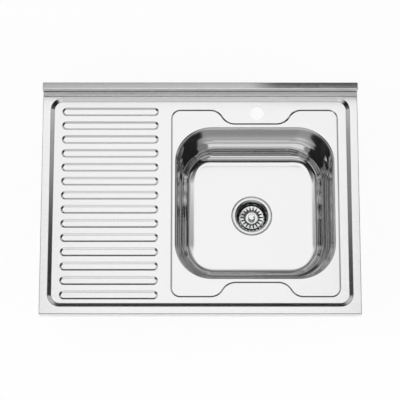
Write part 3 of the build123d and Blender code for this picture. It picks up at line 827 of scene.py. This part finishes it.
class SINK_OT_basket_dish(Operator):
    """Presses the basket's dish and cuts its radial slots"""

    bl_idname = "sink.basket_dish"
    bl_label = "Basket dish"

    def execute(self, context):
        waste = context.scene.sink_waste_sizes
        shell = Shell()
        lip = DISH_HIGH.z
        disc = lip - waste.dish_rise
        corners = [
            (waste.dish_radius, lip - waste.dish_roll),
            (waste.dish_radius, lip),
            (waste.dish_disc + waste.dish_knee_run, disc + waste.dish_knee_rise),
            (waste.dish_disc, disc),
            (waste.stem_hole, disc),
        ]
        radii = [0, waste.dish_roll, waste.dish_bend, waste.dish_bend, 0]
        places, normals = rounded_line(corners, radii, closed=False)
        steps = waste.slot_count * SLOT_STEPS
        rim_rows = ARC_STEPS + 2
        _, outer = turn_round(shell, (places[:rim_rows], normals[:rim_rows]), steps)
        inner, _ = turn_round(shell, (places[-2:], normals[-2:]), steps)
        shell.fill([outer, inner, *self.slots(shell, waste, places, normals)])
        shell.thicken(waste.sheet)
        piece = shell.build("slotted_dish", strainer_steel(context.scene.sink_finish))
        dress(piece, "basket", "basket_dish")
        return {"FINISHED"}

    def slots(self, shell, waste, places, normals):
        """Loops of the slots, lying on the dish's section."""
        radii, levels = places[::-1].T
        leans = np.arctan2(*normals[::-1].T)
        half = waste.slot_width / 2
        ends, _ = rectangle(waste.slot_inner, waste.slot_outer, -half, half, half, EDGE_STEPS)
        bends = [radius for radius in radii if waste.slot_inner + half < radius < waste.slot_outer - half]
        lower = [(radius, -half) for radius in bends]
        upper = [(radius, half) for radius in bends[::-1]]
        start, stop = EDGE_STEPS + 1, 3 * (EDGE_STEPS + 1)
        outline = np.array([*ends[:start], *lower, *ends[start:stop], *upper, *ends[stop:]])
        loops = []
        for along in circle((0, 0), 1, waste.slot_count)[1]:
            flat = outline[:, :1] * along - outline[:, 1:] * right_of(along)
            away = np.linalg.norm(flat, axis=1)
            spokes = flat / away[:, None]
            heights = np.interp(away, radii, levels)
            tilts = np.interp(away, radii, leans)
            ring = shell.ring(
                [(*(DRAIN + place), height) for place, height in zip(flat, heights)],
                [(*(sin(tilt) * spoke), cos(tilt)) for tilt, spoke in zip(tilts, spokes)],
            )
            loops.append(list(dict.fromkeys(ring)))
        return loops


class SINK_OT_knob(Operator):
    """Turns the basket's pull knob"""

    bl_idname = "sink.knob"
    bl_label = "Knob"

    def execute(self, context):
        waste = context.scene.sink_waste_sizes
        shell = Shell()
        foot, head = KNOB_LOW.z, KNOB_HIGH.z
        edge = head - waste.knob_crown
        corners = [
            (0, foot),
            (waste.knob_foot, foot),
            (waste.knob_neck, foot + waste.knob_foot_height),
            (waste.knob_neck, foot + waste.knob_neck_height),
            (waste.knob_radius, foot + waste.knob_neck_height + waste.knob_edge),
            (waste.knob_radius, edge),
            (0, head),
            (-waste.knob_radius, edge),
        ]
        radii = [0, 0, *[waste.knob_round] * 4, waste.crown_round, 0]
        places, normals = rounded_line(corners, radii, closed=False)
        top = int(np.argmin(np.abs(places[1:, 0]))) + 2
        turn_round(shell, (places[:top], normals[:top]))
        piece = shell.build("pull_knob", chrome(context.scene.sink_finish))
        dress(piece, "basket", "basket_knob")
        return {"FINISHED"}


class SINK_OT_finishes(Operator):
    """Gives the parts that keep their solid shape their finishes"""

    bl_idname = "sink.finishes"
    bl_label = "Finishes of the fittings"

    def execute(self, context):
        finish = context.scene.sink_finish
        turned = turned_metal("turned_steel", finish.turned_colour)
        brackets = [f"bracket_{end}_{side}" for end in ("front", "rear") for side in ("left", "right")]
        for material, nodes in (
            (soft_rubber(finish), ("flange_seal", "bowl_seal", "stopper_seal")),
            (damping_mat(finish), ("drainer_pad", "bowl_pad")),
            (moulded_plastic("white_plastic", finish.white_plastic), ("waste_body",)),
            (moulded_plastic("black_plastic", finish.black_plastic), ("stopper_hub",)),
            (turned_metal("turned_brass", finish.brass_colour), ("insert_nut",)),
            (turned, ("fixing_bolt", "basket_stem", "stem_catch")),
            (zinc_plate(finish), ("bracket_screws", *brackets)),
        ):
            for node in nodes:
                for slot in frame["nodes"][node].material_slots:
                    slot.material = material
        return {"FINISHED"}


def dress(piece, body, node):
    """The piece stands for a CAD node, which it hides, and moves with its body."""
    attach(piece, body)
    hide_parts(node)


def surface(name, colour, metallic, roughness):
    """A new material with its nodes, links, shader and object coordinates."""
    material = bpy.data.materials.new(name)
    material.use_nodes = True
    nodes, links = material.node_tree.nodes, material.node_tree.links
    shader = nodes["Principled BSDF"]
    shader.inputs["Base Color"].default_value = (*colour, 1)
    shader.inputs["Metallic"].default_value = metallic
    shader.inputs["Roughness"].default_value = roughness
    place = nodes.new("ShaderNodeTexCoord").outputs["Object"]
    return SimpleNamespace(material=material, nodes=nodes, links=links, shader=shader, place=place)


def add(made, kind, inputs):
    """A new node whose inputs hold the given values, or are linked where a socket is given."""
    node = made.nodes.new(kind)
    for name, value in inputs.items():
        if isinstance(value, bpy.types.NodeSocket):
            made.links.new(value, node.inputs[name])
        else:
            node.inputs[name].default_value = value
    return node


def feed(made, name, value):
    """Links a value to one of the shader's inputs."""
    made.links.new(value, made.shader.inputs[name])


def show(made, shader, output="Material Output"):
    """Links a shader to the output of a material or of the world."""
    made.links.new(shader, made.nodes[output].inputs["Surface"])


def grain(made, scale, detail=3.0):
    """Noise on the object's own coordinates, with a scale for each axis in grains per metre."""
    mapping = add(made, "ShaderNodeMapping", {"Vector": made.place, "Scale": scale})
    place = mapping.outputs["Vector"]
    return add(made, "ShaderNodeTexNoise", {"Vector": place, "Scale": 1, "Detail": detail}).outputs["Fac"]


def lathe_rings(made, scale):
    """Fine rings round the drain's axis, closer together at a larger scale."""
    mapping = add(made, "ShaderNodeMapping", {"Vector": made.place, "Location": (*-DRAIN, 0)})
    place = mapping.outputs["Vector"]
    rings = add(made, "ShaderNodeTexWave", {"Vector": place, "Scale": scale, "Distortion": RING_WANDER})
    rings.wave_type = "RINGS"
    rings.rings_direction = "Z"
    return rings.outputs["Fac"]


def ranged(made, value, start, end, low, high):
    """Brings a value that goes from start to end into the range from low to high."""
    inputs = {"Value": value, "From Min": start, "From Max": end, "To Min": low, "To Max": high}
    return add(made, "ShaderNodeMapRange", inputs)


def roughen(made, noise, low, high):
    """Varies the shader's roughness by a noise value."""
    rough = ranged(made, noise, NOISE_LOW, NOISE_HIGH, low, high)
    feed(made, "Roughness", rough.outputs["Result"])


def stain(made, noise, low, high):
    """Colours the shader between two tints by a noise value."""
    ramp = add(made, "ShaderNodeValToRGB", {"Fac": noise})
    for element, place, colour in zip(ramp.color_ramp.elements, (NOISE_LOW, NOISE_HIGH), (low, high)):
        element.position = place
        element.color = (*colour, 1)
    feed(made, "Base Color", ramp.outputs["Color"])


def relief(made, height, strength, distance):
    """Bumps the shader's surface by a pattern whose full height is the distance in metres."""
    bump = add(made, "ShaderNodeBump", {"Height": height, "Strength": strength, "Distance": distance})
    feed(made, "Normal", bump.outputs["Normal"])


def times(colour, factor):
    """A colour made darker or lighter."""
    return [part * factor for part in colour]


def satin_steel(finish):
    """Satin top, brushed along the sink's length."""
    rough, vary = finish.top_roughness, 0.04
    made = surface("satin_steel", finish.top_colour, metallic=1, roughness=rough)
    brushing = grain(made, scale=(30, 2600, 2600))
    roughen(made, brushing, low=rough - vary, high=rough + vary)
    relief(made, brushing, strength=0.03, distance=0.0002)
    return made.material


def bowl_steel(finish, at):
    """Bowl with polished walls and a satin floor."""
    rough, polished = finish.floor_roughness, finish.wall_roughness
    made = surface("bowl_steel", finish.wall_colour, metallic=1, roughness=polished)
    level = add(made, "ShaderNodeSeparateXYZ", {"Vector": made.place}).outputs["Z"]
    start, end = at.floor + finish.polish_start, at.floor + finish.polish_end
    polish = ranged(made, level, start, end, low=rough, high=polished)
    polish.interpolation_type = "SMOOTHSTEP"
    feed(made, "Roughness", polish.outputs["Result"])
    relief(made, grain(made, scale=(900, 900, 900)), strength=0.04, distance=0.0002)
    return made.material


def strainer_steel(finish):
    """Polished strainer steel with fine rings from the spinning lathe."""
    made = surface("strainer_steel", finish.strainer_colour, metallic=1, roughness=0.12)
    rings = lathe_rings(made, scale=900)
    roughen(made, rings, low=0.09, high=0.16)
    relief(made, rings, strength=0.03, distance=0.0001)
    return made.material


def chrome(finish):
    """Bright chrome plate with a trace of orange peel."""
    made = surface("bright_chrome", finish.chrome_colour, metallic=1, roughness=0.06)
    peel = grain(made, scale=(500, 500, 500))
    roughen(made, peel, low=0.04, high=0.08)
    relief(made, peel, strength=0.03, distance=0.0001)
    return made.material


def turned_metal(name, colour):
    """Turned metal with fine tool marks along its axis."""
    made = surface(name, colour, metallic=1, roughness=0.28)
    marks = grain(made, scale=(60, 60, 6000))
    roughen(made, marks, low=0.20, high=0.36)
    relief(made, marks, strength=0.15, distance=0.0001)
    return made.material


def zinc_plate(finish):
    """Zinc-plated steel with a faint spangle."""
    made = surface("zinc_plate", finish.zinc_colour, metallic=1, roughness=0.38)
    spangle = add(made, "ShaderNodeTexVoronoi", {"Vector": made.place, "Scale": 260})
    patches = add(made, "ShaderNodeSeparateColor", {"Color": spangle.outputs["Color"]}).outputs
    stain(made, patches["Red"], low=times(finish.zinc_colour, 0.86), high=finish.zinc_colour)
    roughen(made, patches["Green"], low=0.30, high=0.46)
    relief(made, grain(made, scale=(1500, 1500, 1500)), strength=0.12, distance=0.0001)
    return made.material


def soft_rubber(finish):
    """Black rubber with a dusty bloom."""
    made = surface("soft_rubber", finish.rubber_colour, metallic=0, roughness=0.62)
    bloom = grain(made, scale=(140, 140, 140), detail=5)
    stain(made, bloom, low=finish.rubber_colour, high=times(finish.rubber_colour, 1.9))
    roughen(made, bloom, low=0.5, high=0.75)
    relief(made, grain(made, scale=(2400, 2400, 2400)), strength=0.2, distance=0.0001)
    return made.material


def damping_mat(finish):
    """Bitumen mat with mineral grit."""
    made = surface("damping_mat", finish.mat_colour, metallic=0, roughness=0.85)
    grit = grain(made, scale=(900, 900, 900), detail=6)
    stain(made, grit, low=finish.mat_colour, high=times(finish.mat_colour, 2.4))
    roughen(made, grit, low=0.72, high=0.95)
    relief(made, grit, strength=0.6, distance=0.0004)
    return made.material


def moulded_plastic(name, colour):
    """Moulded polypropylene with a fine spark-eroded skin."""
    made = surface(name, colour, metallic=0, roughness=0.42)
    made.shader.inputs["Specular IOR Level"].default_value = 0.45
    cloud = grain(made, scale=(35, 35, 35))
    stain(made, cloud, low=times(colour, 0.93), high=colour)
    roughen(made, cloud, low=0.36, high=0.48)
    relief(made, grain(made, scale=(3200, 3200, 3200)), strength=0.12, distance=0.0001)
    return made.material


class SINK_OT_stage(Operator):
    """Sets the pale floor, the soft light, the cards that the steel reflects and the camera"""

    bl_idname = "sink.stage"
    bl_label = "Stage"

    def execute(self, context):
        setup = context.scene.sink_stage
        context.scene.view_settings.view_transform = "Standard"
        self.floor(setup)
        self.world(context, setup)
        self.lamps()
        self.cards()
        self.camera(context, setup)
        return {"FINISHED"}

    def seen_rays(self, made):
        """1 on rays that show the plain white background: from the camera and through glass."""
        path = made.nodes.new("ShaderNodeLightPath").outputs
        larger = add(made, "ShaderNodeMath", {0: path["Is Camera Ray"], 1: path["Is Transmission Ray"]})
        larger.operation = "MAXIMUM"
        return larger.outputs["Value"]

    def greys(self, made, vector, axis, stops):
        """Shades of grey along one axis of a vector, from stops of (place, grey)."""
        start, end = stops[0][0], stops[-1][0]
        along = add(made, "ShaderNodeSeparateXYZ", {"Vector": vector}).outputs["XYZ"[axis]]
        part = ranged(made, along, start, end, low=0, high=1)
        shade = add(made, "ShaderNodeValToRGB", {"Fac": part.outputs["Result"]})
        elements = shade.color_ramp.elements
        elements.remove(elements[1])
        for k, (place, grey) in enumerate(stops):
            element = elements[0] if k == 0 else elements.new((place - start) / (end - start))
            element.color = (grey, grey, grey, 1)
        return shade.outputs["Color"]

    def sheet(self, name, corners, material):
        """A flat stage sheet with four corners."""
        made = add_mesh(name, corners, [(0, 1, 2, 3)], material)
        return made

    def floor(self, setup):
        """Pale floor that keeps a faint shadow."""
        made = surface("pale_floor", setup.floor_colour, metallic=0, roughness=0.6)
        relief(made, grain(made, scale=(60, 60, 60)), strength=0.05, distance=0.0005)
        white = made.nodes.new("ShaderNodeEmission").outputs["Emission"]
        seen = add(made, "ShaderNodeMath", {0: self.seen_rays(made), 1: setup.floor_glow})
        seen.operation = "MULTIPLY"
        plain = made.shader.outputs["BSDF"]
        mix = add(made, "ShaderNodeMixShader", {0: seen.outputs["Value"], 1: plain, 2: white})
        show(made, mix.outputs["Shader"])
        level, reach = CAD_LOW.z, setup.floor_reach
        sides = ((-1, -1), (1, -1), (1, 1), (-1, 1))
        corners = [(x * reach, y * reach, level) for x, y in sides]
        self.sheet("floor", corners, made.material)

    def world(self, context, setup):
        """White for the camera, a grey sky for the steel and soft light for the rest."""
        world = bpy.data.worlds.new("studio")
        context.scene.world = world
        world.use_nodes = True
        made = SimpleNamespace(nodes=world.node_tree.nodes, links=world.node_tree.links)
        soft = made.nodes["Background"]
        soft.inputs["Color"].default_value = WHITE
        soft.inputs["Strength"].default_value = setup.soft_light
        direction = made.nodes.new("ShaderNodeTexCoord").outputs["Generated"]
        sky = add(made, "ShaderNodeBackground", {"Color": self.greys(made, direction, 2, SKY)})
        white = add(made, "ShaderNodeBackground", {"Color": WHITE})
        reflected = made.nodes.new("ShaderNodeLightPath").outputs["Is Glossy Ray"]
        shown = soft.outputs["Background"]
        for rays, light in ((reflected, sky), (self.seen_rays(made), white)):
            mix = add(made, "ShaderNodeMixShader", {0: rays, 1: shown, 2: light.outputs["Background"]})
            shown = mix.outputs["Shader"]
        show(made, shown, output="World Output")

    def lamps(self):
        """Large soft lamps above, which the steel doesn't mirror."""
        for name, place, width, power in LAMPS:
            lamp = bpy.data.lights.new(name, "AREA")
            lamp.size = width
            lamp.energy = power
            holder = add_object(name, lamp)
            holder.location = place
            holder.rotation_mode = "QUATERNION"
            holder.rotation_quaternion = (-Vector(place)).to_track_quat("-Z", "Y")
            holder.visible_glossy = False

    def cards(self):
        """Dark and pale cards far round and above the sink, seen only in the steel."""
        for name, low, high, axis, stops in CARDS:
            made = surface(name, (0, 0, 0), metallic=0, roughness=0.8)
            glow = add(made, "ShaderNodeEmission", {"Color": self.greys(made, made.place, axis, stops)})
            show(made, glow.outputs["Emission"])
            if low[2] == high[2]:
                corners = [low, (high[0], low[1], low[2]), high, (low[0], high[1], low[2])]
            else:
                corners = [low, (high[0], high[1], low[2]), high, (low[0], low[1], high[2])]
            card = self.sheet(name, corners, made.material)
            card.visible_camera = False
            card.visible_diffuse = False
            card.visible_shadow = False

    def camera(self, context, setup):
        """Camera at the photo's angle."""
        view = bpy.data.cameras.new("camera")
        view.lens = setup.camera_lens
        view.sensor_width = SENSOR_WIDTH
        view.clip_end = FAR_CLIP
        holder = add_object("camera", view)
        holder.location = (setup.camera_side, -setup.camera_back, setup.camera_height)
        holder.rotation_euler = (setup.camera_tilt, 0, 0)
        context.scene.camera = holder


class SINK_PT_panel(Panel):
    """Lists the sink's pieces and settings"""

    bl_idname = "SINK_PT_panel"
    bl_label = "Lay-on sink"
    bl_space_type = "VIEW_3D"
    bl_region_type = "UI"
    bl_category = "Sink"

    def draw(self, context):
        layout = self.layout
        for operator in OPERATORS:
            layout.operator(operator.bl_idname)
        for name, group in GROUPS.items():
            settings = getattr(context.scene, name)
            box = layout.box()
            for field in group.__annotations__:
                box.prop(settings, field)


GROUPS = {
    "sink_top_sizes": SinkTopSizes,
    "sink_bowl_sizes": SinkBowlSizes,
    "sink_waste_sizes": SinkWasteSizes,
    "sink_finish": SinkFinish,
    "sink_stage": SinkStage,
}
OPERATORS = (
    SINK_OT_pressed_top,
    SINK_OT_bowl,
    SINK_OT_strainer_cup,
    SINK_OT_basket_dish,
    SINK_OT_knob,
    SINK_OT_finishes,
    SINK_OT_stage,
)
CLASSES = (*GROUPS.values(), *OPERATORS, SINK_PT_panel)


def register():
    """Registers the classes and gives the scene its settings."""
    for cls in CLASSES:
        bpy.utils.register_class(cls)
    for name, group in GROUPS.items():
        setattr(bpy.types.Scene, name, PointerProperty(type=group))


def unregister():
    """Takes the settings and the classes away again."""
    for name in GROUPS:
        delattr(bpy.types.Scene, name)
    for cls in reversed(CLASSES):
        bpy.utils.unregister_class(cls)


def main():
    """Builds every piece and the stage."""
    register()
    bpy.ops.sink.pressed_top()
    bpy.ops.sink.bowl()
    bpy.ops.sink.strainer_cup()
    bpy.ops.sink.basket_dish()
    bpy.ops.sink.knob()
    bpy.ops.sink.finishes()
    bpy.ops.sink.stage()


if __name__ == "__main__":
    main()
